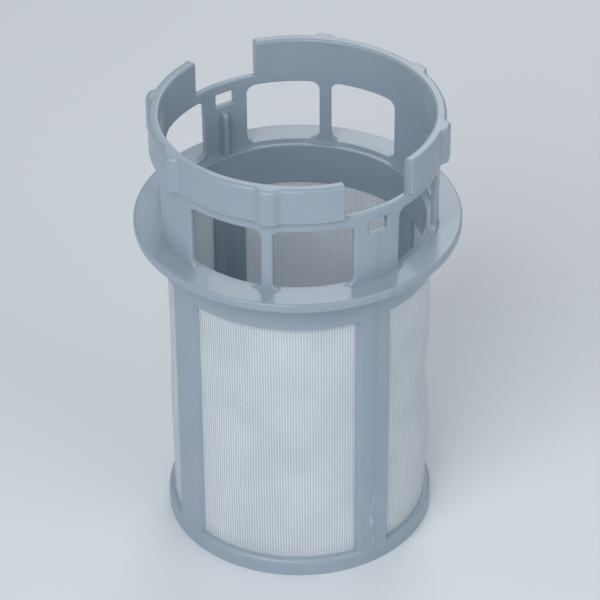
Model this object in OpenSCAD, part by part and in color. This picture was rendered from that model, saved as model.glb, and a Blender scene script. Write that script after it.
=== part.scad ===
// Lift-out micro-filter of a dishwasher sump: a moulded frame that holds a fine woven sleeve.
// Upright on its base ring, Z up, origin at the centre of the base. All lengths in millimetres.
// Bearings are angles round the axis, from the front (-Y) towards the right (+X), in degrees.
// The crown repeats after half a turn, so its posts and pips are given for one half only.

/* [Overall] */
// Height from the base to the top of the crown
height = 125; // [118:0.5:132]
// Height of the crown above the top of the flange
crown_h = 31; // [28:0.5:36]
// How far the flange stands out of the collar
flange_w = 6.7; // [4:0.1:12]
// Thickness of the flange
flange_t = 2.6; // [1.4:0.1:3.6]
// Outside diameter of the collar, the ribs and the base ring
body_d = 72.6; // [60:0.1:86]
// Thickness of the collar, the ribs and the base ring
wall_t = 2.8; // [2.6:0.1:3.4]
// Length of the collar under the flange
collar_h = 10.1; // [7:0.1:16]
// Rounding of the flange's rim
rim_r = 0.6; // [0.2:0.1:0.65]

/* [Base ring] */
// Height of the base ring's outer ledge
ledge_h = 4.8; // [2.6:0.1:5]
// Rounding of the ledge's outer edge
ledge_r = 1.1; // [0.3:0.1:1.2]
// Height of the skirt that grips the screen outside
skirt_h = 5.3; // [5.1:0.1:7]
// Thickness of that skirt
skirt_t = 0.35; // [0.2:0.05:0.6]
// Height of the lip that grips the screen inside
lip_h = 7.9; // [5:0.1:10]

/* [Ribs] */
// Number of ribs
rib_n = 4; // [3:1:6]
// Bearing of the first rib
rib_at = 33.5; // [0:0.5:90]
// Width of a rib's outer face
rib_face_w = 8.7; // [6:0.1:10]
// Width of a rib where it meets the screen
rib_root_w = 10.5; // [10:0.1:12]
// Width of a rib's inner face
rib_back_w = 9.6; // [7:0.1:10]
// How far a rib's outer and inner faces lie inside those of the rings
rib_step = 0.1; // [0.05:0.05:0.3]
// Width of the channel down a rib's inner face
channel_w = 3.2; // [2:0.1:4]
// Depth of that channel
channel_depth = 0.7; // [0.4:0.05:0.7]

/* [Screen] */
// Depth of the screen's middle under the outer face of the collar
screen_inset = 1.8; // [1.3:0.05:1.9]
// Thickness of the screen
screen_t = 0.4; // [0.2:0.05:0.5]
// Length of screen held in the collar
screen_grip = 2.7; // [1:0.1:4]
// Height of the screen's lower end inside the base ring
screen_foot = 1.4; // [0.8:0.1:2]
// How far the threads stand out of the wall
thread_rise = 0.15; // [0.05:0.05:0.25]
// Width of a thread
thread_w = 0.6; // [0.3:0.1:1]
// Rows of gaps in each bay
gap_rows = 6; // [3:1:6]
// Columns of gaps in each bay
gap_cols = 5; // [2:1:5]
// Side of a gap between the threads
gap_w = 1.6; // [0.8:0.1:2]
// Threads to each row or column of gaps
threads_per_gap = 3; // [2:1:5]
// Plain strip of screen beside a rib
bay_margin = 0.6; // [0.3:0.1:2]

/* [Crown wall] */
// Width of the inner seat, between the bore and the crown's wall
seat_w = 1.5; // [0.8:0.1:2]
// Thickness of the crown's wall
crown_t = 2.2; // [1.4:0.1:2.6]
// Depth of the inner seat below the top of the flange
seat_drop = 0.8; // [0.3:0.1:1.2]
// Height of the windows' sills above the flange
sill_h = 0.2; // [0.1:0.1:1]
// Height of the windows
window_h = 17.9; // [14:0.1:18.4]
// Rounding of the windows' lower corners
window_low_r = 2.5; // [0.5:0.1:3]
// Rounding of the windows' upper corners
window_high_r = 2; // [0.5:0.1:3]
// Bearing of the slotted post
slot_post_at = 32.9; // [30:0.1:36]
// Arc of the slotted post
slot_post_deg = 21.5; // [17:0.5:24]
// Bearing of the thin post next to it
thin_post_1_at = 77.3; // [74:0.1:80]
// Bearing of the second thin post
thin_post_2_at = 167.8; // [164:0.1:171]
// Arc of a thin post
thin_post_deg = 5; // [3.5:0.1:7]
// Bearing of the wide post between the thin ones
wide_post_at = 120.9; // [117:0.1:124]
// Arc of the wide post
wide_post_deg = 25; // [18:0.1:32]
// Width of the slot for the catch
slot_w = 6.1; // [4:0.1:7]
// Height of that slot
slot_h = 4.5; // [3:0.1:6]
// Bearing of the key inside the slotted post
key_at = 34; // [31:0.1:36]
// Width of that key
key_w = 1.4; // [1:0.1:3]
// Height of the key above the inner seat
key_h = 13.4; // [8:0.1:13.4]

/* [Bayonet band] */
// How far the band stands out of the crown's wall
band_proud = 1.1; // [0.4:0.1:2]
// Height of the band
band_h = 10; // [7:0.1:11]
// Rounding of the band's upper edges
band_r = 0.7; // [0.2:0.1:1]
// Bearing of the gap in the band
gap_at = 33.3; // [30:0.1:36]
// Arc of that gap
gap_deg = 30.6; // [20:0.1:34]
// Arc between neighbouring pips
pip_pitch_deg = 45.5; // [40:0.5:50]
// Width of a pip at its foot
pip_foot_w = 7; // [5:0.1:9]
// Width of a pip at its crest
pip_top_w = 2.8; // [2:0.1:4.5]
// How far a pip stands out of the band
pip_rise = 1.4; // [0.4:0.1:1.6]

/* [Hidden] */
$fn = 96;
plastic = [0.62, 0.66, 0.69];
nylon = [0.9, 0.94, 0.96];
// Cutters run this far past what they cut
over = 1;
// Straight pieces in each round corner of a window
corner_steps = 6;
// Two halves of the crown, half a turn apart
halves = [0, 180];
body_r = body_d / 2;
bore_r = body_r - wall_t;
flange_r = body_r + flange_w;
crown_in = bore_r + seat_w;
crown_out = crown_in + crown_t;
crown_mid = crown_in + crown_t / 2;
band_out = crown_out + band_proud;
screen_in = body_r - screen_inset - screen_t / 2;
screen_out = screen_in + screen_t;
flange_z = height - crown_h;
collar_z = flange_z - flange_t - collar_h;
seat_z = flange_z - seat_drop;
band_z = height - band_h;
sill_z = flange_z + sill_h;
window_z = sill_z + window_h;
screen_top = collar_z + screen_grip;
rib_pitch = 360 / rib_n;
rib_bearings = [for (i = [0:rib_n - 1]) rib_at + i * rib_pitch];
// Each post of one half as its bearing and its arc, going round
posts = [[slot_post_at, slot_post_deg], [thin_post_1_at, thin_post_deg],
    [wide_post_at, wide_post_deg], [thin_post_2_at, thin_post_deg]];
// Each window of one half as the bearings of its two sides
windows = [for (i = [0:len(posts) - 1])
    let (a = posts[i], b = i < len(posts) - 1 ? posts[i + 1] : [posts[0][0] + 180, posts[0][1]])
    [a[0] + a[1] / 2, b[0] - b[1] / 2]];
band_start = gap_at + gap_deg / 2;
band_deg = 180 - gap_deg;
// A pip is rooted inside the band, and clear of the crown's wall
pip_root = max(crown_out + band_proud / 4, band_out - pip_rise / 2);
pip_bearings = [for (i = [-1:1]) gap_at + 90 + i * pip_pitch_deg];
// The bay of screen that shows between two ribs
bay_half_deg = rib_pitch / 2 - asin((rib_root_w / 2 + bay_margin) / screen_out);
bay_low = lip_h + bay_margin;
bay_high = collar_z - bay_margin;
row_pitch = (bay_high - bay_low) / gap_rows;
col_pitch = 2 * bay_half_deg / gap_cols;

// Turns what is drawn along +X to a bearing
module at(bearing) {
    rotate([0, 0, bearing - 90]) children();
}

// Rectangle with its corners rounded by [lower inner, lower outer, upper outer, upper inner]
module soft_rect(x0, x1, y0, y1, radii) {
    corners = [[x0, y0, 1, 1], [x1, y0, -1, 1], [x1, y1, -1, -1], [x0, y1, 1, -1]];
    difference() {
        translate([x0, y0]) square([x1 - x0, y1 - y0]);
        for (i = [0:3]) {
            c = corners[i];
            r = radii[i];
            if (r > 0) difference() {
                translate([c[0] - over + (c[2] > 0 ? 0 : over - r), c[1] - over + (c[3] > 0 ? 0 : over - r)])
                    square(r + over);
                translate([c[0] + c[2] * r, c[1] + c[3] * r]) circle(r = r);
            }
        }
    }
}

// Ring of rectangular section
module ring(inner, outer, low, high) {
    rotate_extrude() translate([inner, low]) square([outer - inner, high - low]);
}

// Piece of a ring between two bearings
module arc(inner, outer, low, high, from, to) {
    at(from) rotate_extrude(angle = to - from) translate([inner, low]) square([outer - inner, high - low]);
}

// Quarter of a circle as points, from one angle on
function quarter(x, y, r, start) = [for (k = [0:corner_steps])
    let (a = start + 90 * k / corner_steps)
    [x + r * cos(a), y + r * sin(a)]];

// Half a cutter: its one upright side lies on the radial plane of a bearing, and way is 1 or -1
module window_side(bearing, width_deg, way) {
    reach = crown_out + over;
    outline = concat([[reach, sill_z], [reach, window_z]],
        quarter(window_high_r, window_z - window_high_r, window_high_r, 90),
        quarter(window_low_r, sill_z + window_low_r, window_low_r, 180));
    inner = crown_in * cos(width_deg) - over;
    at(bearing) translate([inner, 0, 0]) rotate([90, 0, 90]) linear_extrude(reach - inner)
        polygon([for (p = outline) [way * p[0], p[1]]]);
}

// Cutter of one window, both of its sides on radial planes
module window_cut(from, to) {
    intersection() {
        window_side(from, to - from, 1);
        window_side(to, to - from, -1);
    }
}

// Flange with the collar under it, round the bore
module flange_and_collar() {
    rotate_extrude() soft_rect(bore_r, flange_r, flange_z - flange_t, flange_z, [0, rim_r, rim_r, 0]);
    ring(bore_r, body_r, collar_z, flange_z);
}

// Base ring: outer ledge, with a thin skirt and a lip that hold the screen between them
module base_ring() {
    rotate_extrude() soft_rect(bore_r, body_r, 0, ledge_h, [0, 0, ledge_r, 0]);
    ring(bore_r, screen_out + skirt_t, 0, skirt_h);
    ring(bore_r, screen_out, 0, lip_h);
}

// One rib, thickest where it meets the screen, with the channel down its inner face
module rib(bearing) {
    foot = ledge_h / 2;
    top = flange_z - flange_t / 2;
    spread = (rib_root_w - rib_face_w) / 2 / (body_r - screen_out);
    tip = rib_face_w / 2 - spread * over;
    back_r = bore_r + rib_step;
    channel_r = (channel_w * channel_w / 4 + channel_depth * channel_depth) / 2 / channel_depth;
    difference() {
        intersection() {
            ring(back_r, body_r - rib_step, foot, top);
            at(bearing) translate([0, 0, foot]) linear_extrude(top - foot)
                polygon([[bore_r - over, -rib_back_w / 2], [screen_in, -rib_back_w / 2],
                    [screen_in, -rib_root_w / 2], [screen_out, -rib_root_w / 2],
                    [body_r + over, -tip], [body_r + over, tip],
                    [screen_out, rib_root_w / 2], [screen_in, rib_root_w / 2],
                    [screen_in, rib_back_w / 2], [bore_r - over, rib_back_w / 2]]);
        }
        at(bearing) translate([back_r + channel_depth - channel_r, 0, lip_h])
            cylinder(r = channel_r, h = collar_z - lip_h);
    }
}

// Band of the bayonet on one half of the crown, with a tongue down the wall's middle, and its pips
module band() {
    at(band_start) rotate_extrude(angle = band_deg)
        soft_rect(crown_in, band_out, band_z, height, [0, 0, band_r, band_r]);
    arc(crown_in + crown_t / 4, crown_out - crown_t / 4, band_z - over, band_z + over,
        band_start, band_start + band_deg);
    for (b = pip_bearings)
        at(b) translate([0, 0, band_z]) linear_extrude(height - band_r - band_z)
            polygon([[pip_root, -pip_foot_w / 2], [band_out + pip_rise, -pip_top_w / 2],
                [band_out + pip_rise, pip_top_w / 2], [pip_root, pip_foot_w / 2]]);
}

// Key inside the slotted post, flush with the bore, its upper end sloped
module key() {
    rise = crown_in - bore_r;
    at(key_at) translate([0, key_w / 2, 0]) rotate([90, 0, 0]) linear_extrude(key_w)
        polygon([[bore_r, seat_z - over], [bore_r, seat_z + key_h - rise], [crown_in, seat_z + key_h],
            [crown_mid, seat_z + key_h], [crown_mid, seat_z - over]]);
}

// Collar, flange and crown wall, with the seat inside and the windows and slots through the wall
module body() {
    difference() {
        union() {
            flange_and_collar();
            ring(bore_r, crown_out, flange_z - flange_t / 2, band_z);
        }
        ring(0, crown_in, seat_z, band_z + over);
        for (half = halves)
            for (w = windows) window_cut(w[0] + half, w[1] + half);
        for (half = halves)
            at(slot_post_at + half) translate([crown_in - over, -slot_w / 2, window_z - slot_h])
                cube([crown_t + 2 * over, slot_w, slot_h]);
    }
}

// The whole frame is one moulding, cast round the screen
module frame() {
    color(plastic) difference() {
        union() {
            body();
            for (half = halves)
                rotate([0, 0, half]) {
                    band();
                    key();
                }
            base_ring();
            for (b = rib_bearings) rib(b);
        }
        ring(screen_in, screen_out, screen_foot, screen_top);
    }
}

// Upright threads of one bay, on the inside of the screen
module warp(bay) {
    count = gap_cols * threads_per_gap;
    thread_deg = thread_w / screen_in * 180 / PI;
    for (i = [1:count - 1])
        if (i % threads_per_gap != threads_per_gap / 2) {
            b = bay - bay_half_deg + i * col_pitch / threads_per_gap;
            arc(screen_in - thread_rise, (screen_in + screen_out) / 2, bay_low, bay_high,
                b - thread_deg / 2, b + thread_deg / 2);
        }
}

// Level threads of one bay, on the outside of the screen
module weft(bay) {
    count = gap_rows * threads_per_gap;
    at(bay - bay_half_deg) rotate_extrude(angle = 2 * bay_half_deg) union() {
        for (i = [1:count - 1])
            translate([(screen_in + screen_out) / 2, bay_low + i * row_pitch / threads_per_gap - thread_w / 2])
                square([screen_t / 2 + thread_rise, thread_w]);
    }
}

// Gaps of one bay, through the wall between the threads
module gaps(bay) {
    for (i = [0:gap_cols - 1])
        for (j = [0:gap_rows - 1])
            at(bay - bay_half_deg + (i + 0.5) * col_pitch)
                translate([screen_in - over, -gap_w / 2, bay_low + (j + 0.5) * row_pitch - gap_w / 2])
                    cube([screen_t + 2 * over, gap_w, gap_w]);
}

// The woven sleeve, one wall whose ends and four uprights are held in the frame
module screen() {
    color(nylon) difference() {
        union() {
            ring(screen_in, screen_out, screen_foot, screen_top);
            for (b = rib_bearings) {
                warp(b + rib_pitch / 2);
                weft(b + rib_pitch / 2);
            }
        }
        for (b = rib_bearings) gaps(b + rib_pitch / 2);
    }
}

frame();
screen();
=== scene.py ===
# %% [markdown]
# # A lift-out filter from a dishwasher
#
# The real part is two things moulded together: a grey plastic frame, and a sleeve of fine white
# nylon mesh. Both were built as solids first, and this file dresses them: it makes a finely
# rounded copy of each, gives each its finish, and sets up a floor, lights and a camera.
#
# The solids come in as a fixed frame. Everything below is built in their place, so nothing has to
# be moved to fit.

import bmesh
import bpy
import numpy as np
from mathutils import Matrix, Vector


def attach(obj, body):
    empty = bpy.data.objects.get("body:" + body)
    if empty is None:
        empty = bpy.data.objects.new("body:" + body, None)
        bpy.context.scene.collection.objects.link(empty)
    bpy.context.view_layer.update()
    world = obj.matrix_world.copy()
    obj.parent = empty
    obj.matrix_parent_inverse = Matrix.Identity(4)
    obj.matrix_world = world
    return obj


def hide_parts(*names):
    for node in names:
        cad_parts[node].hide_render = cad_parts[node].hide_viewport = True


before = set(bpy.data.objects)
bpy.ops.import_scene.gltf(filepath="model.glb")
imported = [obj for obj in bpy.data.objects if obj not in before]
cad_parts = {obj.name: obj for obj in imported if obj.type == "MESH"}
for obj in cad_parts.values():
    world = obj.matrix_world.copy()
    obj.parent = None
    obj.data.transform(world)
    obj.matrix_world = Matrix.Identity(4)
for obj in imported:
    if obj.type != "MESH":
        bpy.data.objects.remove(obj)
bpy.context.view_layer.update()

# %% [markdown]
# ## The camera
#
# It looks down on the filter from the front at about 35 degrees, from 0.8 metres away. A camera's
# matrix holds its own right, up and backward directions as columns, so the tilt goes straight in
# as sines and cosines. The lens is long, and that is why the cylinder hardly tapers.

# %% Camera
TILT = np.radians(35.24)
ROLL = -0.006423  # radians
CAMERA_AT = (0.00042, -0.638, 0.5161)  # metres
LENS, SENSOR = 175.44, 36  # millimetres
right = np.array([1, 0, 0])
up = np.array([0, np.sin(TILT), np.cos(TILT)])
back = np.array([0, -np.cos(TILT), np.sin(TILT)])
axes = Matrix.Identity(4)
axes.col[0][:3] = right * np.cos(ROLL) + up * np.sin(ROLL)
axes.col[1][:3] = up * np.cos(ROLL) - right * np.sin(ROLL)
axes.col[2][:3] = back
axes.col[3][:3] = CAMERA_AT
camera_data = bpy.data.cameras.new("camera")
camera_data.lens = LENS
camera_data.sensor_width = SENSOR
camera_data.clip_start = 0.05
camera = bpy.data.objects.new("camera", camera_data)
camera.matrix_world = axes
bpy.context.scene.collection.objects.link(camera)
bpy.context.scene.camera = camera
print("camera stands", round(float(np.linalg.norm(CAMERA_AT)), 3), "m from the base")

# %% [markdown]
# ## Sizes
#
# Everything on this filter is laid out round one axis, so a place on it is a bearing, a radius
# and a height. Bearings are in degrees, from the front towards the right. Lengths are in
# millimetres here, because that is how a moulding is measured, and are turned into metres when a
# mesh is made. They are the sizes of the solids, but for the inner face of the crown, its sills and
# its slots, which are eased by a few tenths of a millimetre.

# %% Sizes in millimetres
MM = 0.001  # metres in a millimetre
HEIGHT = 125.0
FLANGE_R, FLANGE_TOP, FLANGE_FOOT = 43.0, 94.0, 91.4
BODY_R, BORE_R = 36.3, 33.5
COLLAR_FOOT, SEAT = 81.3, 93.2
CROWN_IN, CROWN_OUT = 35.4, 37.2
CROWN_MID = (CROWN_IN + CROWN_OUT) / 2
WINDOW_TOP, BAND_FOOT, BAND_OUT = 112.1, 115.0, 38.3
SCREEN_R, SCREEN_LOW, SCREEN_HIGH = 34.5, 1.4, 84.0
RIBS = 33.5 + 90 * np.arange(4)  # bearings
HALVES = (0, 180)  # the crown repeats after half a turn
print("body", 2 * BODY_R, "mm across, flange", 2 * FLANGE_R, "mm, ribs at", RIBS.tolist())

# %% [markdown]
# ## Working on a round thing
#
# Two small functions carry nearly all of the shapes. The first turns bearing, radius and height
# into a point. The second draws a closed outline and rounds its corners, because every edge of a
# moulding is a little round and that is what catches the light.

# %% Points round the axis, and outlines with soft corners


def on_ring(bearing, radius, height):
    """x = radius sin(bearing), y = -radius cos(bearing), z = height, for whole arrays at once."""
    angle = np.radians(bearing)
    x, y = radius * np.sin(angle), -radius * np.cos(angle)
    return np.stack(np.broadcast_arrays(x, y, height), axis=-1)


def soft_outline(corners, radii, steps=4, guard=0.12):
    """A closed outline whose corners are arcs, and the corner that each of its points belongs to.

    With h as half the angle between the two sides, an arc of radius q touches each side q / tan(h)
    from the corner, and its centre is q / sin(h) along the line that halves the angle. A guard
    point just outside each end of the arc keeps the shading of the flat side flat.
    """
    corners = np.asarray(corners, float)
    points, owner = [], []
    for i, q in enumerate(radii):
        corner = corners[i]
        before = corners[i - 1] - corner
        after = corners[(i + 1) % len(corners)] - corner
        before, after = before / np.linalg.norm(before), after / np.linalg.norm(after)
        if q == 0:
            new = [corner]
        else:
            half = np.arccos(np.clip(before @ after, -1, 1)) / 2
            reach, turn = q / np.tan(half), np.pi - 2 * half
            middle = (before + after) / np.linalg.norm(before + after)
            centre = corner + middle * q / np.sin(half)
            start, end = corner + before * reach - centre, corner + after * reach - centre
            t = np.linspace(0, 1, steps + 1)[:, None]
            swing = (np.sin((1 - t) * turn) * start + np.sin(t * turn) * end) / np.sin(turn)
            arc = centre + swing
            new = [corner + before * (reach + guard), *arc, corner + after * (reach + guard)]
        points += new
        owner += [i] * len(new)
    return np.array(points), np.array(owner)


print("a quarter turn at the bore:", on_ring(90, BORE_R, 0).round(3).tolist())

# %% [markdown]
# ## Skins
#
# A skin is a grid of points with faces between neighbours. One way of the grid goes round an
# outline and the other along a path. Where the path is a full circle the last outline is sewn to
# the first. Where it has ends, each end is closed by a fan of triangles, or is folded shut: then
# its points come in pairs at one place, and merging those sews it up. A closed skin encloses a
# volume, and if that comes out negative the faces look inwards and are turned round.

# %% A skin over a grid of outlines


def skin(points, ends="fans"):
    """Vertices, quads and triangles over points[path, outline, xyz].

    The ends are "fans", "folded" or "joined". Volume is the sum over the triangles of
    a . (b x c) / 6, which is positive if they face outwards.
    """
    rows, cols, _ = points.shape
    vertices = points.reshape(-1, 3)
    i = np.arange(rows if ends == "joined" else rows - 1)[:, None]
    j = np.arange(cols)[None, :]
    here, there = i * cols, ((i + 1) % rows) * cols
    quads = np.stack([here + j, here + (j + 1) % cols, there + (j + 1) % cols, there + j], axis=-1)
    quads = quads.reshape(-1, 4)
    fans = np.zeros((0, 3), int)
    if ends == "fans":
        k, count = np.arange(cols), rows * cols
        following, final = (k + 1) % cols, count - cols
        vertices = np.vstack([vertices, points[[0, -1]].mean(axis=1)])
        first = np.stack([following, k, np.full(cols, count)], axis=-1)
        last = np.stack([k + final, following + final, np.full(cols, count + 1)], axis=-1)
        fans = np.vstack([first, last])
    triangles = np.vstack([quads[:, :3], quads[:, [0, 2, 3]], fans])
    a, b, c = np.moveaxis(vertices[triangles], 1, 0)
    if np.einsum("ij,ij->", a, np.cross(b, c)) < 0:
        quads, fans = quads[:, ::-1], fans[:, ::-1]
    return vertices, quads, fans


def turned(outline, sectors=240):
    """Outline of radius and height carried once round the axis, as on a lathe."""
    bearings = np.arange(sectors)[:, None] * 360 / sectors
    return skin(on_ring(bearings, outline[None, :, 0], outline[None, :, 1]), ends="joined")


square, _ = soft_outline([(10, 0), (12, 0), (12, 2), (10, 2)], [0, 0, 0, 0])
print("a square turned round the axis has", len(turned(square)[1]), "quads")

# %% [markdown]
# The frame is one moulding, so all of its skins go into one object. Merging the points that share
# a place sews the folded ends. Faces are shaded smooth, except across an edge sharper than 38
# degrees. The last lines hide the solid that the object replaces and hang it from the root body.

# %% One object from its skins
SHARP = np.radians(38)


def piece(name, skins, node):
    """One object from several closed skins, in metres, standing for a solid of the frame."""
    vertices, faces, start = [], [], 0
    for points, quads, fans in skins:
        vertices.append(points * MM)
        faces += (quads + start).tolist() + (fans + start).tolist()
        start += len(points)
    mesh = bpy.data.meshes.new(name)
    mesh.from_pydata(np.vstack(vertices).tolist(), [], faces)
    sewn = bmesh.new()
    sewn.from_mesh(mesh)
    bmesh.ops.remove_doubles(sewn, verts=sewn.verts, dist=1e-6)
    print(name, "edges left open:", sum(edge.is_boundary for edge in sewn.edges))
    sewn.to_mesh(mesh)
    sewn.free()
    mesh.polygons.foreach_set("use_smooth", np.ones(len(mesh.polygons), bool))
    mesh.set_sharp_from_angle(angle=SHARP)
    thing = bpy.data.objects.new(name, mesh)
    bpy.context.scene.collection.objects.link(thing)
    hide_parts(node)
    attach(thing, "root")
    print(name, "has", len(skins), "skins and", len(faces), "faces")
    return thing


# %% [markdown]
# ## Flange, collar, base ring and the ring over the windows
#
# These are turned shapes: one outline carried round the axis. Going up the outside there is the
# collar, then the flange with its soft rim, whose top runs in through the crown's windows. Inside
# is the seat that a strainer cup rests on, a small step above the bore. The base ring has a ledge
# outside, a thin skirt against the mesh, and a lip behind the mesh. A plain ring closes the
# windows.

# %% Turned parts of the frame
LEDGE_TOP, SKIRT_TOP, LIP_TOP = 4.9, 5.3, 7.9
SKIRT_R, LIP_R = 34.95, 34.4
BEAM_IN = CROWN_IN + 0.02  # a hair inside the wall, so that no two surfaces share a place
collar_and_flange, _ = soft_outline(
    [
        (BORE_R, COLLAR_FOOT),
        (BODY_R, COLLAR_FOOT),
        (BODY_R, FLANGE_FOOT),
        (FLANGE_R, FLANGE_FOOT),
        (FLANGE_R, FLANGE_TOP),
        (CROWN_IN, FLANGE_TOP),
        (CROWN_IN, SEAT),
        (BORE_R, SEAT),
    ],
    [0.3, 0.3, 0.5, 0.55, 0.6, 0.3, 0.2, 0.35],
    guard=0.03,
)
base_ring, _ = soft_outline(
    [
        (BORE_R, 0),
        (BODY_R, 0),
        (BODY_R, LEDGE_TOP),
        (SKIRT_R, LEDGE_TOP),
        (SKIRT_R, SKIRT_TOP),
        (LIP_R, SKIRT_TOP),
        (LIP_R, LIP_TOP),
        (BORE_R, LIP_TOP),
    ],
    [0.25, 0.12, 1.2, 0.05, 0.15, 0.05, 0.15, 0.25],
    guard=0.03,
)
beam, _ = soft_outline(
    [(BEAM_IN, WINDOW_TOP), (CROWN_OUT, WINDOW_TOP), (CROWN_OUT, BAND_FOOT), (BEAM_IN, BAND_FOOT)],
    [0.25, 0.25, 0.55, 0.4],
)
frame_skins = [turned(outline) for outline in (collar_and_flange, base_ring, beam)]
print("turned outlines have", [len(o) for o in (collar_and_flange, base_ring, beam)], "points")

# %% [markdown]
# ## Posts between the windows
#
# The eight windows are easier to make by what is left of them: posts that stand on the flange and
# carry a ring. A post's sides lie on planes through the axis, as a mould's sliding cores leave
# them, and it flares where it meets the flange and the ring, because a window's corners are
# round. So a post is an outline that rises, with its two sides moved out by the flare at each
# height.

# %% A post


def flare(levels, radius, foot=None, top=None):
    """How far a quarter circle stands out from a side, at a distance d from the flat that it meets:
    radius - sqrt(radius^2 - (radius - d)^2), and nothing from d = radius on."""
    distance = levels - foot if foot is not None else top - levels
    d = np.clip(radius - np.clip(distance, 0, None), 0, radius)
    return radius - np.sqrt(radius**2 - d**2)


def post(centre, halves, levels, flares, slices, thin=0, inset=0.03, edge=0.75):
    """Outlines of bearing and radius at each level, from centre - halves[0] to centre + halves[1].

    The outline is drawn in millimetres along the wall's middle, with inner corners of 0.3 and
    outer ones of edge. Its faces lie inset inside the wall's, the outer face 0.01 less. Point by
    point, its left part moves out by flares[0] and its right part by flares[1], and the points
    between share the two. Both faces move in by thin, which rounds an end that shows. The post
    bends with the wall, so each end is folded onto the wall's middle, where its two halves meet.
    """
    low, high = -np.radians(halves[0]) * CROWN_MID, np.radians(halves[1]) * CROWN_MID
    across = np.linspace(low, high, slices + 1)
    inner = [(s, CROWN_IN + inset) for s in across]
    outer = [(s, CROWN_OUT - inset + 0.01) for s in across[::-1]]
    flat = [0] * (slices - 1)
    outline, owner = soft_outline(inner + outer, [0.3, *flat, 0.3, edge, *flat, edge])
    left, right = flares
    share = np.linspace(0, 1, slices + 1)
    to_right = np.concatenate([share, share[::-1]])[owner]
    along = outline[:, 0] + right[:, None] * to_right - left[:, None] * (1 - to_right)
    bearings = centre + np.degrees(along / CROWN_MID)
    share_in = (np.zeros(len(levels)) + thin)[:, None] / (CROWN_OUT - CROWN_MID)
    radius = outline[None, :, 1] * (1 - share_in) + CROWN_MID * share_in
    walls = on_ring(bearings, radius, levels[:, None])
    seams = (bearings[[0, -1]] + bearings[[0, -1], ::-1]) / 2
    folds = on_ring(seams, CROWN_MID, levels[[0, -1], None])
    return skin(np.concatenate([folds[:1], walls, folds[1:]]), ends="folded")


CORNER_R = 2.5  # rounding of a window's corners
POST_FOOT, POST_TOP = FLANGE_TOP - 0.5, WINDOW_TOP + 0.8  # sunk into the flange and the ring
bend = np.radians(np.linspace(0, 90, 9))
foot_levels = FLANGE_TOP + CORNER_R * (1 - np.cos(bend))
top_levels = WINDOW_TOP - CORNER_R * (1 - np.cos(bend[::-1]))
levels = np.concatenate([[POST_FOOT], foot_levels, top_levels, [POST_TOP]])
both_ends = flare(levels, CORNER_R, foot=FLANGE_TOP) + flare(levels, CORNER_R, top=WINDOW_TOP)
print("a post is drawn at", len(levels), "levels")

# %% Plain posts
PLAIN_POSTS = [
    # bearing of the middle and half the width, in degrees, then slices
    (77.3, 2.5, 2),
    (120.9, 12.5, 8),
    (167.8, 2.5, 2),
]
for half in HALVES:
    for centre, reach, slices in PLAIN_POSTS:
        sides = (reach, reach)
        frame_skins.append(post(centre + half, sides, levels, (both_ends, both_ends), slices))
print("plain posts:", len(PLAIN_POSTS) * len(HALVES))

# %% [markdown]
# The slotted post has a wide lower part and two legs beside its slot. The legs are set in by a
# few hundredths of a millimetre where they run down into the lower part, so that no two surfaces
# of the same mesh lie in one place, which would make specks in the shading. Behind each slot a
# narrow key stands on the seat and rounds back into the wall at its top.

# %% Slotted posts
SLOT_AT, SLOT_POST_HALF = 33.0, 10.75  # degrees
SLOT_FOOT, SLOT_HALF_W = 108.2, 2.85
SLOT_EDGE, SLOT_CORNER = 0.6, 0.15  # rounding of the slot's lower edge, and of its upper corners
LEG_SUNK, LEG_IN = 1.2, 0.03  # how far a leg runs into the lower part, and is set in there
slot_half = np.degrees(SLOT_HALF_W / CROWN_MID)
round_levels = SLOT_FOOT - SLOT_EDGE * (1 - np.sin(bend[::2]))
lower_levels = np.concatenate([[POST_FOOT], foot_levels, round_levels])
lower_flare = flare(lower_levels, CORNER_R, foot=FLANGE_TOP)
lower_thin = flare(lower_levels, SLOT_EDGE, top=SLOT_FOOT)
leg_levels = np.concatenate([[SLOT_FOOT - LEG_SUNK], top_levels, [POST_TOP]])
leg_flare = flare(leg_levels, CORNER_R, top=WINDOW_TOP)
slot_flare = flare(leg_levels, SLOT_CORNER, top=WINDOW_TOP)
leg_mid = (SLOT_POST_HALF + slot_half) / 2
leg_reach = (SLOT_POST_HALF - slot_half) / 2
leg_form = {"slices": 2, "inset": 0.05, "edge": 0.5}


def slotted_post(centre):
    """The lower part, the left leg and the right leg."""
    sides = (SLOT_POST_HALF, SLOT_POST_HALF)
    left_sides, right_sides = (leg_reach - LEG_IN, leg_reach), (leg_reach, leg_reach - LEG_IN)
    left_flares, right_flares = (leg_flare, slot_flare), (slot_flare, leg_flare)
    return [
        post(centre, sides, lower_levels, (lower_flare, lower_flare), 6, thin=lower_thin),
        post(centre - leg_mid, left_sides, leg_levels, left_flares, **leg_form),
        post(centre + leg_mid, right_sides, leg_levels, right_flares, **leg_form),
    ]


print("slot:", 2 * SLOT_HALF_W, "mm wide")

# %% Keys behind the slots
KEY_AT, KEY_HALF_W, KEY_ROOT = 34.0, 0.7, 0.7
KEY_LEVELS = np.array([SEAT - 0.3, 105.0, 105.5, 106.0, 106.3, 106.5])
KEY_BACK = np.array([0.02, 0.02, 0.12, 0.5, 1.15, 2.1])  # how far its face lies behind the bore


def key(centre):
    """Upright ridge: its inner face is flush with the bore, and rounds over into the wall."""
    w = KEY_HALF_W
    outline, owner = soft_outline([(-w, 0), (w, 0), (w, 1), (-w, 1)], [0.25, 0.25, 0, 0], steps=3)
    radius = (BORE_R + KEY_BACK)[:, None] + outline[None, :, 1]
    radius = np.where((owner > 1)[None, :], CROWN_IN + KEY_ROOT, radius)
    bearings = centre + np.degrees(np.arcsin(outline[None, :, 0] / radius))
    return skin(on_ring(bearings, radius, KEY_LEVELS[:, None]))


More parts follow.
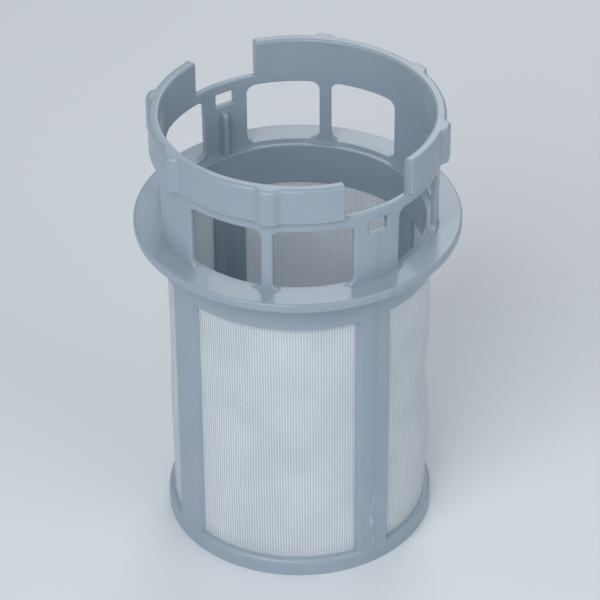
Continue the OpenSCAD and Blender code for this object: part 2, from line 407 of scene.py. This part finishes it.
for half in HALVES:
    frame_skins += [*slotted_post(SLOT_AT + half), key(KEY_AT + half)]
print("skins so far:", len(frame_skins))

# %% [markdown]
# ## The bayonet band
#
# Two long arcs top the crown, with a gap between them on each side where a lug drops in. Their
# section is a rounded bar with a tongue sunk in the ring below. It is carried along the arc,
# pushed out where a pip stands, and drawn down and in near the ends so that the corners there are
# round too.

# %% Band arcs with their pips
GAP_AT, GAP_HALF = 33.3, 15.3  # degrees
PIPS = GAP_AT + 90 + 45.5 * np.array([-1, 0, 1])  # bearings
PIP_RISE, PIP_TOP, PIP_FOOT = 1.4, 1.2, 3.6  # the last two are half widths
TONGUE_OUT, TONGUE_FOOT = CROWN_IN + 1.4, BAND_FOOT - 1.0
END_REACH, END_DROP, END_INSET = 0.4, 0.35, 0.3
ARC_STEP = 0.55  # degrees between two sections


def pip_rise(bearings):
    """Height of the pips over the band: full up to PIP_TOP from a pip's middle, none past PIP_FOOT,
    and an S-curve 3t^2 - 2t^3 between."""
    along = np.radians(np.abs(bearings[:, None] - PIPS[None, :])) * BAND_OUT
    t = np.clip((PIP_FOOT - along) / (PIP_FOOT - PIP_TOP), 0, 1)
    return PIP_RISE * (3 * t**2 - 2 * t**3).max(axis=1)


def band_section():
    """Outline of radius and height, and its points' corners: 3, 4 are outside, 4, 5 on top."""
    corners = [
        (CROWN_IN, TONGUE_FOOT),
        (TONGUE_OUT, TONGUE_FOOT),
        (TONGUE_OUT, BAND_FOOT),
        (BAND_OUT, BAND_FOOT),
        (BAND_OUT, HEIGHT),
        (CROWN_IN, HEIGHT),
    ]
    return soft_outline(corners, [0, 0, 0, 0.3, 0.95, 0.7], steps=5, guard=0.05)


def band(turn):
    """The section at each bearing, its top dropped and its sides set in near both ends."""
    outline, owner = band_section()
    outside, top = np.isin(owner, [3, 4]), np.isin(owner, [4, 5])
    start, end = GAP_AT + GAP_HALF, GAP_AT + 180 - GAP_HALF
    near = np.degrees(END_REACH * (1 - np.cos(np.linspace(0, np.pi / 2, 6))) / BAND_OUT)
    middle = np.arange(start + near[-1] + 0.4, end - near[-1], ARC_STEP)
    bearings = np.concatenate([start + near, middle, (end - near)[::-1]])
    from_end = np.radians(np.minimum(bearings - start, end - bearings)) * BAND_OUT
    drop = flare(from_end, END_DROP, foot=0)
    inset = flare(from_end, END_INSET, foot=0)
    radius = outline[None, :, 0] + outside * pip_rise(bearings)[:, None]
    radius = radius + inset[:, None] * np.where(outside, -1, 1)
    height = outline[None, :, 1] - top * drop[:, None]
    return skin(on_ring(bearings[:, None] + turn, radius, height))


frame_skins += [band(half) for half in HALVES]
print("pips at", (PIPS % 360).round(1).tolist(), "and half a turn on")

# %% [markdown]
# ## Ribs
#
# Four ribs join the collar to the base ring and hold the mesh. Seen from above, a rib is widest
# where the mesh runs through it, and its inner face has a shallow channel. Plastic shrinks most
# where it is thickest, so a faint sink line runs down the middle of the outer face.

# %% Section of a rib
RIB_OUT, RIB_IN = BODY_R - 0.1, BORE_R + 0.1
MESH_IN, MESH_OUT = 34.3, 34.7
FACE_HALF, ROOT_HALF, BACK_HALF = 4.35, 5.25, 4.8  # half widths outside, at the mesh, and inside
CHANNEL_R, CHANNEL_FLOOR, CHANNEL_MOUTH = 34.2, 0.9, 1.6  # the last two are half widths
SINK_DEPTH, SINK_WIDTH = 0.09, 0.8
RIB_LEVELS = np.array([2.0, 20, 40, 60, COLLAR_FOOT + 1.5])
across = np.array([3.2, 2.2, 1.4, 0.8, 0.4, 0])
outer_face = [(s, RIB_OUT) for s in np.concatenate([across, -across[-2::-1]])]
right_side = [(BACK_HALF, RIB_IN), (BACK_HALF, MESH_IN)]
right_side += [(ROOT_HALF, MESH_OUT), (FACE_HALF, RIB_OUT)]
left_side = [(-s, radius) for s, radius in right_side[::-1]]
channel = [(CHANNEL_MOUTH, RIB_IN), (CHANNEL_FLOOR, CHANNEL_R)]
channel = [(-s, radius) for s, radius in channel] + channel[::-1]
rib_corners = right_side + outer_face + left_side + channel
side_radii, channel_radii = [0.25, 0.1, 0.1, 0.3], [0.25, 0.3, 0.3, 0.25]
rib_radii = side_radii + [0] * len(outer_face) + side_radii[::-1] + channel_radii
print("a rib's section has", len(rib_corners), "corners")

# %% Four ribs


def rib(centre):
    """Section of distance across and radius, the same at every height.

    A point at distance s across and radius r has the bearing arcsin(s / r), which keeps the rib's
    sides flat. The sink line lowers the outer face by SINK_DEPTH exp(-(s / SINK_WIDTH)^2).
    """
    outline, owner = soft_outline(rib_corners, rib_radii, steps=3, guard=0.05)
    on_outer_face = np.isin(owner, len(right_side) + np.arange(len(outer_face)))
    sunk = on_outer_face * SINK_DEPTH * np.exp(-((outline[:, 0] / SINK_WIDTH) ** 2))
    radius = (outline[:, 1] - sunk)[None, :]
    bearings = centre + np.degrees(np.arcsin(outline[None, :, 0] / radius))
    return skin(on_ring(bearings, radius, RIB_LEVELS[:, None]))


frame_skins += [rib(bearing) for bearing in RIBS]
moulding = piece("moulding", frame_skins, "frame")

# %% [markdown]
# ## The mesh sleeve
#
# The sleeve is one sheet of woven nylon, closed round the axis with its seam hidden in a rib. It
# is held along both ends and at each rib, and waves a little between them. The waves are a
# handful of soft bumps, each a bell curve in bearing and height, and they fade to nothing where
# the sheet is held.

# %% Waves of the sleeve
WAVES = [
    # bearing, height, spread in degrees, spread in millimetres, how far it stands out
    (86, 64, 18, 12, 0.65),
    (86, 43, 18, 6, -0.55),
    (86, 25, 18, 14, 1.05),
    (-20, 62, 15, 13, -0.3),
    (2, 40, 16, 12, 0.3),
    (-30, 26, 14, 10, 0.25),
    (-100, 58, 16, 14, -0.35),
    (-96, 34, 16, 11, 0.3),
    (168, 64, 18, 12, 0.35),
    (160, 36, 16, 12, -0.4),
]
RIB_REACH = 8.6  # degrees from a rib's middle to where it lets go of the mesh
HOLD = 7  # how far the hold of a rib or an end is felt, in degrees or millimetres


def sleeve_radius(bearings, heights):
    """Radius of the sheet: SCREEN_R plus the waves, times two fades.

    A fade is 1 - exp(-(d / HOLD)^2), with d the distance to the nearest rib or end.
    """
    to_rib = np.abs((bearings[..., None] - RIBS + 180) % 360 - 180).min(axis=-1)
    to_rib = np.clip(to_rib - RIB_REACH, 0, None)
    to_end = np.minimum(heights - LIP_TOP, COLLAR_FOOT - heights).clip(0)
    fade = (1 - np.exp(-((to_rib / HOLD) ** 2))) * (1 - np.exp(-((to_end / HOLD) ** 2)))
    total = np.zeros(np.broadcast(bearings, heights).shape)
    for bearing, height, wide, tall, rise in WAVES:
        away = (bearings - bearing + 180) % 360 - 180
        total += rise * np.exp(-((away / wide) ** 2) - ((heights - height) / tall) ** 2)
    return SCREEN_R + total * fade


print("waves:", len(WAVES))

# %% Grid of the sleeve
COLUMNS, ROWS = 240, 60
bearings = RIBS[0] + np.arange(COLUMNS)[None, :] * 360 / COLUMNS
heights = np.linspace(SCREEN_LOW, SCREEN_HIGH, ROWS + 1)[:, None]
sheet_points = on_ring(bearings, sleeve_radius(bearings, heights), heights) * MM
i, j = np.meshgrid(np.arange(ROWS), np.arange(COLUMNS), indexing="ij")
lower, upper, following = i * COLUMNS, (i + 1) * COLUMNS, (j + 1) % COLUMNS
quads = np.stack([lower + j, lower + following, upper + following, upper + j], axis=-1)
sheet_mesh = bpy.data.meshes.new("sleeve")
sheet_mesh.from_pydata(sheet_points.reshape(-1, 3).tolist(), [], quads.reshape(-1, 4).tolist())
sheet_mesh.polygons.foreach_set("use_smooth", np.ones(len(sheet_mesh.polygons), bool))
print("sleeve has", len(sheet_mesh.polygons), "quads")

# %% [markdown]
# The weave has to follow the sheet, so the sheet carries a UV map: once round it is 0 to 1, and
# so is foot to top. A UV belongs to a face's corner, so the last column of faces can end at 1
# while it shares its points with the first. Solidify gives the sheet the thickness of crossed
# threads.

# %% UV map and thickness of the sleeve
THREADS_THICK = 0.25
corner_u = np.stack([j, j + 1, j + 1, j], axis=-1) / COLUMNS
corner_v = np.stack([i, i, i + 1, i + 1], axis=-1) / ROWS
uv_layer = sheet_mesh.uv_layers.new(name="weave")
corner_uv = np.stack([corner_u, corner_v], axis=-1).astype(np.float32)
uv_layer.data.foreach_set("uv", corner_uv.ravel())
sleeve = bpy.data.objects.new("sleeve", sheet_mesh)
bpy.context.scene.collection.objects.link(sleeve)
thickness = sleeve.modifiers.new("threads", "SOLIDIFY")
thickness.thickness = THREADS_THICK * MM
thickness.offset = 0
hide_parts("screen")
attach(sleeve, "root")

# %% [markdown]
# ## Writing materials as sums
#
# A finish is a graph of nodes. Written out by hand that is long, so one small class stands for a
# socket and knows how to add, subtract, multiply and divide: each sign makes the Math node it
# means. Every other node comes from one method.

# %% Sockets that can be added and multiplied


class Wire:
    """One output socket of a material, usable in a Python sum."""

    def __init__(self, tree, socket):
        self.tree, self.socket = tree, socket

    def node(self, kind, settings=None, inputs=(), output=0):
        """A new node of that kind: its settings, then values or wires for its sockets, which go by
        name or place."""
        made = self.tree.nodes.new(kind)
        for name, value in (settings or {}).items():
            setattr(made, name, value)
        pairs = inputs.items() if isinstance(inputs, dict) else enumerate(inputs)
        for place, value in pairs:
            if isinstance(value, Wire):
                self.tree.links.new(value.socket, made.inputs[place])
            else:
                made.inputs[place].default_value = value
        return Wire(self.tree, made.outputs[output]) if len(made.outputs) else made

    def maths(self, operation, *values):
        return self.node("ShaderNodeMath", {"operation": operation}, values)

    def __add__(self, other):
        return self.maths("ADD", self, other)

    def __sub__(self, other):
        return self.maths("SUBTRACT", self, other)

    def __rsub__(self, other):
        return self.maths("SUBTRACT", other, self)

    def __mul__(self, other):
        return self.maths("MULTIPLY", self, other)

    def __truediv__(self, other):
        return self.maths("DIVIDE", self, other)

    def between(self, low, high):
        """0 below low, 1 above high, and a smooth step in between."""
        settings = {"interpolation_type": "SMOOTHSTEP"}
        inputs = {"Value": self, "From Min": low, "From Max": high}
        return self.node("ShaderNodeMapRange", settings, inputs)

    def blend(self, first, second):
        """Colour that goes from first to second as this mask goes from 0 to 1."""
        inputs = {0: self, 6: first, 7: second}  # the places of the factor and the two colours
        return self.node("ShaderNodeMix", {"data_type": "RGBA"}, inputs, output=2)


def new_material(name):
    """An empty material, and a wire to build its graph from."""
    material = bpy.data.materials.new(name)
    material.use_nodes = True
    material.node_tree.nodes.clear()
    return material, Wire(material.node_tree, None)


plastic, p = new_material("grey_plastic")
print("started", plastic.name)

# %% [markdown]
# ## Grey plastic
#
# The frame is polypropylene, a cool light grey with a satin face. Three things keep it from
# looking like paint: a very fine spark-eroded grain from the mould, slow clouds in tone and gloss
# where the melt flowed, and a few pale stress strokes low on one rib, where it was squeezed and
# turned white. All three come from noise and sums over the place on the object, so they stay put
# from any side.

# %% Clouds, patches and grain
place = p.node("ShaderNodeTexCoord", output="Object")
x, y, z = (p.node("ShaderNodeSeparateXYZ", inputs=[place], output=k) for k in range(3))


def noise(material, place, scale, detail, rough=0.5):
    """Noise of that many cells to the metre."""
    values = {"Vector": place, "Scale": scale, "Detail": detail, "Roughness": rough}
    return material.node("ShaderNodeTexNoise", inputs=values)


clouds = noise(p, place, 28, 3)
patches = noise(p, place, 140, 4, 0.6)
grain = noise(p, place, 2600, 2, 0.6)
print("plastic has", len(plastic.node_tree.nodes), "nodes so far")

# %% [markdown]
# A stroke is the set of places near a line. On the rib it runs from one height to another while
# it drifts sideways, so the distance from it is what is left of the sideways place once the drift
# is taken off. Each stroke fades out towards its ends. The sink line is painted shade: a darker
# band down the middle, where the shallow sink dip falls into shade.

# %% Stress strokes on the right-hand rib
STROKES = [
    # height at the foot, height at the top, place across at the foot and at the top, in millimetres
    (17.4, 24.2, -0.85, 0.55),
    (11.2, 17.5, -0.75, -0.9),
    (12.4, 16.2, -0.75, -1.5),
    (5.4, 9.3, -0.25, -0.3),
]
STROKE_CORE, STROKE_EDGE = 0.05, 0.42  # a stroke is full up to the one and gone past the other
# Painted shade along the sink line: full up to the first width from the middle, gone past the
# second, at the third's strength.
SINK_SHADE_CORE, SINK_SHADE_EDGE, SINK_SHADE = 0.0001, 0.0016, 0.35  # the first two in metres
FACE_FROM, FACE_FULL = 0.0352, 0.0358  # metres from the axis: the masks start and are full there
rib_angle = np.radians(RIBS[0])
across = x * np.cos(rib_angle) + y * np.sin(rib_angle)
outwards = x * np.sin(rib_angle) - y * np.cos(rib_angle)
on_face = outwards.between(FACE_FROM, FACE_FULL)


def stroke(foot, top, start, end):
    """Mask of one stroke: a smooth band round across = start + (end - start) t, with t from 0 to 1
    up it."""
    t = (z * 1000 - foot) / (top - foot)
    distance = t.maths("ABSOLUTE", across * 1000 - (t * (end - start) + start))
    width = 1 - distance.between(STROKE_CORE, STROKE_EDGE)
    return width * t.between(0, 0.3) * (1 - t.between(0.6, 1))


pale = sum((stroke(*values) for values in STROKES[1:]), stroke(*STROKES[0])) * on_face
# Mask of painted shade down the middle of the rib's outer face, where the shallow sink dip falls
# into shade.
sink = (1 - p.maths("ABSOLUTE", across).between(SINK_SHADE_CORE, SINK_SHADE_EDGE)) * on_face * SINK_SHADE
print("stress strokes:", len(STROKES))

# %% [markdown]
# The masks meet in one Principled shader. Tone wanders between two close greys, the painted shade
# of the sink line and the stress strokes are laid over it, and the same clouds vary the gloss. The
# grain goes into a bump of a tenth of a millimetre, and a weak coat gives the skin that a mould
# leaves on polypropylene.

# %% Plastic shader
GREY, GREY_DARK = (0.31, 0.385, 0.46, 1), (0.285, 0.355, 0.43, 1)
# The first of these greys is painted shade for the sink line. The second is the pale colour of
# stress whitening.
SINK_SHADE_GREY, WHITENED = (0.25, 0.305, 0.365, 1), (0.55, 0.62, 0.68, 1)
WHITENING = 0.45
tone = (clouds * 0.6 + patches * 0.4).between(0.3, 0.7)
tone_colour = tone.blend(GREY_DARK, GREY)
# Painted shade: the sink line is darkened in the base colour.
sink_shaded_colour = sink.blend(tone_colour, SINK_SHADE_GREY)
colour = (pale * WHITENING).blend(sink_shaded_colour, WHITENED)
roughness = clouds * 0.1 + patches * 0.06 + 0.28
relief = {"Strength": 0.16, "Distance": 0.0001, "Height": grain + patches * 0.6}
bump = p.node("ShaderNodeBump", inputs=relief)
values = {"Base Color": colour, "Roughness": roughness, "Normal": bump}
values |= {"IOR": 1.49, "Coat Weight": 0.2}
surface = p.node("ShaderNodeBsdfPrincipled", inputs=values)
p.node("ShaderNodeOutputMaterial", inputs={"Surface": surface})
moulding.data.materials.append(plastic)
print("plastic has", len(plastic.node_tree.nodes), "nodes")

# %% [markdown]
# ## Woven nylon
#
# The mesh is a plain weave, drawn with a thread every 0.72 mm. Modelling every thread would take
# millions of faces, so the weave is a pattern on the sheet's own UV map. Scaling the map by the
# number of threads makes every thread one unit wide: the distance to the nearest whole number
# says where thread ends and gap begins. A gap stays partly covered, since the real threads are
# finer than the drawn ones. Threads that pass over stand up, and those that pass under sink,
# which a chequered sign works out.

# %% Weave from the UV map
AROUND, UP = 300, 115  # threads once round and from foot to top
HALF_THREAD, SOFTNESS = 0.2, 0.05
nylon, n = new_material("nylon_mesh")
weave_map = n.node("ShaderNodeUVMap", {"uv_map": "weave"})
thread_u = n.node("ShaderNodeSeparateXYZ", inputs=[weave_map], output=0) * AROUND
thread_v = n.node("ShaderNodeSeparateXYZ", inputs=[weave_map], output=1) * UP


def from_thread(place):
    """Distance from the middle of the nearest thread, where 0.5 is the middle of the gap."""
    return place.maths("ABSOLUTE", place.maths("FRACT", place) - 0.5)


upright, level = from_thread(thread_u), from_thread(thread_v)
upright_mask = 1 - upright.between(HALF_THREAD - SOFTNESS, HALF_THREAD + SOFTNESS)
level_mask = 1 - level.between(HALF_THREAD - SOFTNESS, HALF_THREAD + SOFTNESS)
cover = upright_mask.maths("MAXIMUM", upright_mask, level_mask)
cell = thread_u.maths("FLOOR", thread_u) + thread_v.maths("FLOOR", thread_v)
over = cell.maths("MODULO", cell, 2.0)
height_u = upright_mask * (over * 0.6 + 0.4)
height_v = level_mask * (1 - over * 0.6)
weave_height = height_u.maths("MAXIMUM", height_u, height_v)
print("weave:", AROUND, "threads round and", UP, "up")

# %% [markdown]
# Nylon is a milky white with a slightly cool cast. It is duller than the plastic, and its tone
# wanders slowly over the sheet. Alpha carries the gaps, so what is behind shows through.

# %% Nylon shader
WHITE_COOL, WHITE = (0.66, 0.72, 0.77, 1), (0.74, 0.79, 0.84, 1)
GAP_ALPHA, THREAD_ALPHA = 0.38, 0.5  # what a gap covers, and what a thread adds to it
fibres = noise(n, n.node("ShaderNodeTexCoord", output="Object"), 60, 3)
white = fibres.between(0.3, 0.7).blend(WHITE_COOL, WHITE)
relief = {"Strength": 0.35, "Distance": 0.0001, "Height": weave_height}
bump = n.node("ShaderNodeBump", inputs=relief)
values = {"Base Color": white, "Roughness": fibres * 0.1 + 0.38, "Normal": bump}
values |= {"Alpha": cover * THREAD_ALPHA + GAP_ALPHA, "IOR": 1.53, "Specular IOR Level": 0.4}
surface = n.node("ShaderNodeBsdfPrincipled", inputs=values)
n.node("ShaderNodeOutputMaterial", inputs={"Surface": surface})
sheet_mesh.materials.append(nylon)
print("nylon has", len(nylon.node_tree.nodes), "nodes")

# %% [markdown]
# ## Floor
#
# The filter stands on a plain pale floor, large enough that its edge is never in view.

# %% Floor
FLOOR_HALF = 6.0  # metres
FLOOR_COLOUR = (0.73, 0.77, 0.81, 1)
floor_corners = [(x, y, 0) for x, y in FLOOR_HALF * np.array([(-1, -1), (1, -1), (1, 1), (-1, 1)])]
floor_mesh = bpy.data.meshes.new("floor")
floor_mesh.from_pydata(floor_corners, [], [(0, 1, 2, 3)])
floor = bpy.data.objects.new("floor", floor_mesh)
bpy.context.scene.collection.objects.link(floor)
pale_floor, f = new_material("pale_floor")
values = {"Base Color": FLOOR_COLOUR, "Roughness": 0.6}
surface = f.node("ShaderNodeBsdfPrincipled", inputs=values)
f.node("ShaderNodeOutputMaterial", inputs={"Surface": surface})
floor_mesh.materials.append(pale_floor)
print("floor is", 2 * FLOOR_HALF, "m across")

# %% [markdown]
# ## Light
#
# One large soft lamp hangs to the left and above, so that faces turned left are the lighter ones.
# A weaker one fills the right, one behind picks out the upper edges, and a pale world lights the
# rest.

# %% Lamps and world
LAMPS = [
    # name, place in metres, power in watts, side in metres
    ("key", (-0.32, -0.65, 0.68), 5.0, 0.6),
    ("fill", (0.6, -0.45, 0.5), 1.5, 0.6),
    ("rim", (0.15, 0.8, 0.62), 1.7, 0.4),
]
AIM = np.array([0, 0, 0.06])  # the middle of the filter
WORLD_COLOUR, WORLD_STRENGTH = (0.92, 0.96, 1, 1), 0.38


def facing(away):
    """Turns a lamp's own +Z to point back along away, so that its light goes the other way."""
    return Vector(away).to_track_quat("Z", "Y").to_matrix().to_4x4()


def soft_lamp(name, place, power, width):
    """A square lamp that faces the middle of the filter."""
    lamp = bpy.data.lights.new(name, "AREA")
    lamp.energy, lamp.size = power, width
    holder = bpy.data.objects.new(name, lamp)
    holder.matrix_world = Matrix.Translation(place) @ facing(np.array(place) - AIM)
    bpy.context.scene.collection.objects.link(holder)


for values in LAMPS:
    soft_lamp(*values)
world = bpy.data.worlds.new("studio")
world.use_nodes = True
background = world.node_tree.nodes["Background"]
background.inputs["Color"].default_value = WORLD_COLOUR
background.inputs["Strength"].default_value = WORLD_STRENGTH
bpy.context.scene.world = world
bpy.context.scene.view_settings.view_transform = "Standard"
print("lamps:", [name for name, *_ in LAMPS])
